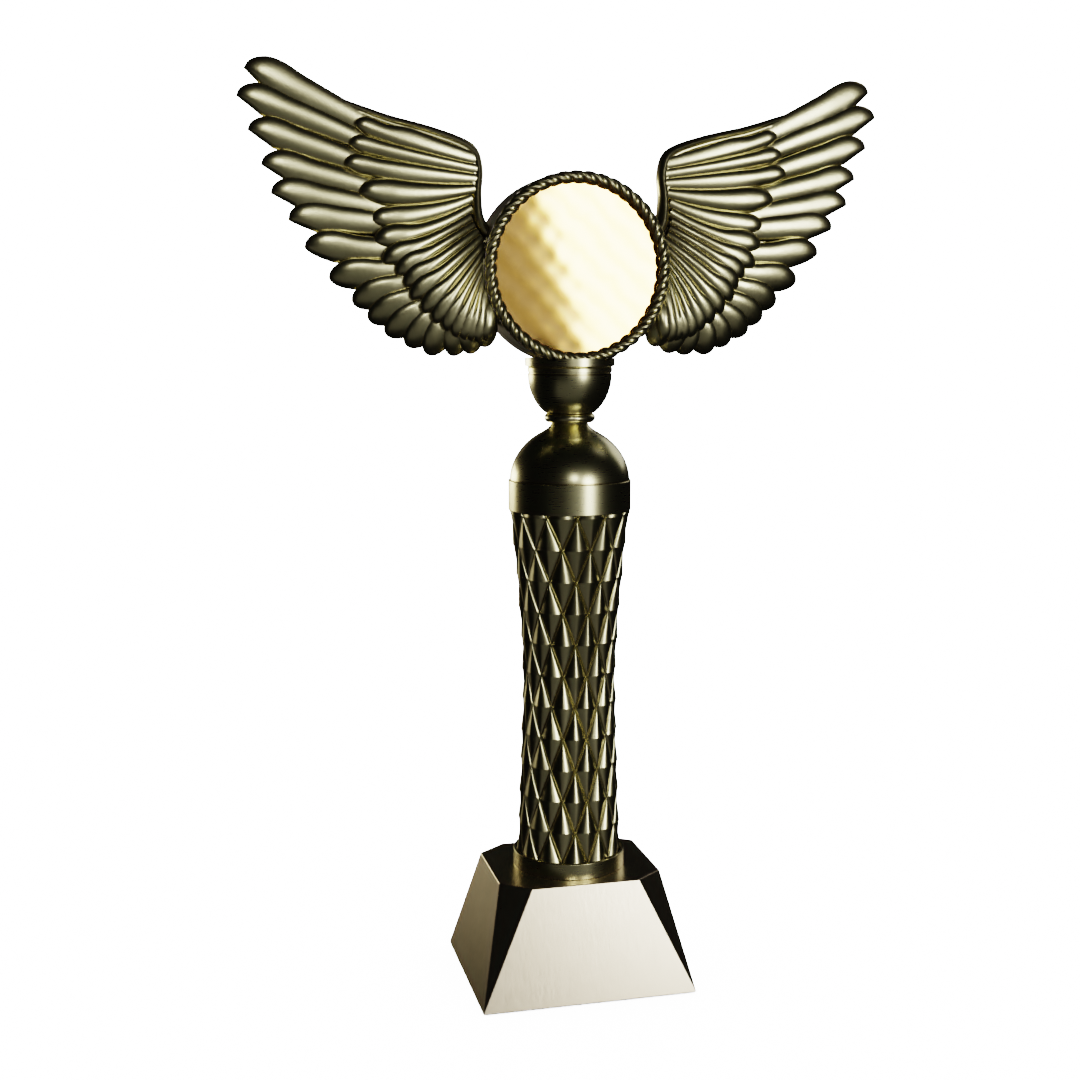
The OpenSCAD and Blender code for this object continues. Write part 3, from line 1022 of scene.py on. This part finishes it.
def make_wing(name, flip, node):
    """A wing: two layers of feathers, arm and root, fused and cut to the drum."""
    low, high = box_mm("drum_shell")
    centre_z = (low.z + high.z) / 2
    parts = list(flight_parts()) + list(covert_parts())
    parts.append(plate_part(BACKING, *BACKING_Y))
    parts.append(plate_part(ROOT_BLOCK, *ROOT_BLOCK_Y))
    lip = arm_part(ARM[LIP_START:], 0.85, 0.5, forward=1.3, front=0.25, back=1.3)
    arm = arm_part(ARM, 0, 1, forward=0, front=1.9, back=1.9)
    parts.append(lip)
    wing = part_object(name, arm, flip)
    others = [part_object(f"{name}_{i}", p, flip) for i, p in enumerate(parts)]
    apply_boolean(wing, "UNION", others)
    beyond = 20
    gap = 0.2
    drum = cylinder_part(high.x + gap / 2, low.y - beyond, high.y + beyond, centre_z)
    rope_r = ROPE_RING_R + ROPE_R + gap
    rope = cylinder_part(rope_r, low.y - beyond, ROPE_Y + ROPE_R + gap, centre_z)
    cutters = [part_object("drum_cut", drum, flip), part_object("rope_cut", rope, flip)]
    apply_boolean(wing, "DIFFERENCE", cutters)
    weld(wing)
    wing.data.shade_smooth()
    wing.data.set_sharp_from_angle(angle=math.radians(32))
    finish_piece(wing, "cast_gold", node)


# ---------------------------------------------------------------- CAD nodes kept

KEPT = {
    "bowl_rim": turned_gold,
    "medallion_seat": turned_gold,
    "drum_shell": drum_gold,
    "back_cover": drum_gold,
    "ballast_block": iron,
    "felt_pad": felt,
    "disc_pad": foam,
}


def finish_cad_nodes():
    """Gives every CAD node its material; those that KEPT doesn't name are steel."""
    for name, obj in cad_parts.items():
        material = KEPT.get(name, steel)
        obj.data.materials.clear()
        obj.data.materials.append(material)
        if material in (turned_gold, drum_gold):
            soften_edges(obj, 0.2, 2)


# ---------------------------------------------------------------- stage


def make_floor():
    """Matte white floor that the metal doesn't mirror."""
    half = 3.0
    mesh = bpy.data.meshes.new("floor")
    corners = [(-half, -half, 0), (half, -half, 0), (half, half, 0), (-half, half, 0)]
    mesh.from_pydata(corners, [], [(0, 1, 2, 3)])
    floor = bpy.data.objects.new("floor", mesh)
    bpy.context.scene.collection.objects.link(floor)
    material, tree, shader = node_tree("floor_white")
    shader.inputs["Base Color"].default_value = (0.95, 0.95, 0.95, 1)
    shader.inputs["Roughness"].default_value = 1
    shader.inputs["Specular IOR Level"].default_value = 0
    mesh.materials.append(material)
    floor.visible_glossy = False
    floor.visible_shadow = False


def make_world():
    """White to the camera and to matte surfaces, nearly black in reflections."""
    world = bpy.data.worlds.new("studio")
    bpy.context.scene.world = world
    world.use_nodes = True
    tree = world.node_tree
    tree.nodes.clear()
    path = tree.nodes.new("ShaderNodeLightPath")
    dark = tree.nodes.new("ShaderNodeBackground")
    dark.inputs["Color"].default_value = (0.9, 0.95, 1, 1)
    dark.inputs["Strength"].default_value = DARK
    white = tree.nodes.new("ShaderNodeBackground")
    white.inputs["Color"].default_value = (1, 1, 1, 1)
    white.inputs["Strength"].default_value = WHITE
    mix = tree.nodes.new("ShaderNodeMixShader")
    out = tree.nodes.new("ShaderNodeOutputWorld")
    tree.links.new(path.outputs["Is Glossy Ray"], mix.inputs["Fac"])
    tree.links.new(white.outputs["Background"], mix.inputs[1])
    tree.links.new(dark.outputs["Background"], mix.inputs[2])
    tree.links.new(mix.outputs["Shader"], out.inputs["Surface"])


def softbox(name, azimuth, elevation, wide, tall, radiance, tilt=0, colour=(1, 1, 1)):
    """Rectangular light around the trophy.

    All angles are in degrees: azimuth 0 is in front and positive to the right,
    wide and tall are the angles that the light spans as seen from the trophy.
    """
    centre = Vector((0, 0, LIGHT_CENTRE_Z))
    a, e = math.radians(azimuth), math.radians(elevation)
    out = Vector((math.sin(a) * math.cos(e), -math.cos(a) * math.cos(e), math.sin(e)))
    light = bpy.data.lights.new(name, "AREA")
    light.shape = "RECTANGLE"
    light.size = 2 * LIGHT_DISTANCE * math.tan(math.radians(wide / 2))
    light.size_y = 2 * LIGHT_DISTANCE * math.tan(math.radians(tall / 2))
    light.energy = radiance * math.pi * light.size * light.size_y
    light.color = colour
    obj = bpy.data.objects.new(name, light)
    obj.location = centre + out * LIGHT_DISTANCE
    aim = (-out).to_track_quat("-Z", "Y")
    obj.rotation_euler = (aim @ Quaternion((0, 0, 1), math.radians(tilt))).to_euler()
    obj.visible_camera = False
    bpy.context.scene.collection.objects.link(obj)


def make_lights():
    """Two bright lights in front, dim ones that fill, and warm ones behind the left."""
    softbox("key", 21.8, 3, 13, 18, 9.5, tilt=16)
    softbox("second", -5.4, 12.5, 5, 5, 26)
    softbox("front_left", 10, 6, 10, 9, 0.32)
    softbox("below", -12, -36, 80, 44, 0.075)
    softbox("behind", -175, 2, 26, 32, 0.13, colour=WARM)
    softbox("back_left", -152, 0, 28, 11, 6.0, colour=WARM)
    softbox("low_left", -160, -14, 24, 14, 0.13, colour=WARM)
    softbox("rim_right", 128, 20, 30, 24, 0.8)
    softbox("top_right", 100, 50, 24, 16, 0.4)


def make_camera():
    """Camera at the photo's viewing angle."""
    data = bpy.data.cameras.new("camera")
    data.lens = CAMERA_LENS
    data.sensor_width = CAMERA_SENSOR
    data.clip_start = 0.01
    camera = bpy.data.objects.new("camera", data)
    camera.location = CAMERA_AT
    camera.rotation_euler = (
        math.radians(90 + CAMERA_PITCH),
        0,
        -math.radians(CAMERA_HEADING),
    )
    bpy.context.scene.collection.objects.link(camera)
    bpy.context.scene.camera = camera


finish_cad_nodes()
make_plinth()
make_collar()
make_column()
make_cap_band()
make_dome()
make_bead()
make_bowl()
make_rope()
make_disc()
make_wing("wing_right", 1, "right_wing")
make_wing("wing_left", -1, "left_wing")
make_floor()
make_world()
make_lights()
make_camera()
bpy.context.scene.view_settings.view_transform = "Filmic"
bpy.context.scene.view_settings.look = "High Contrast"
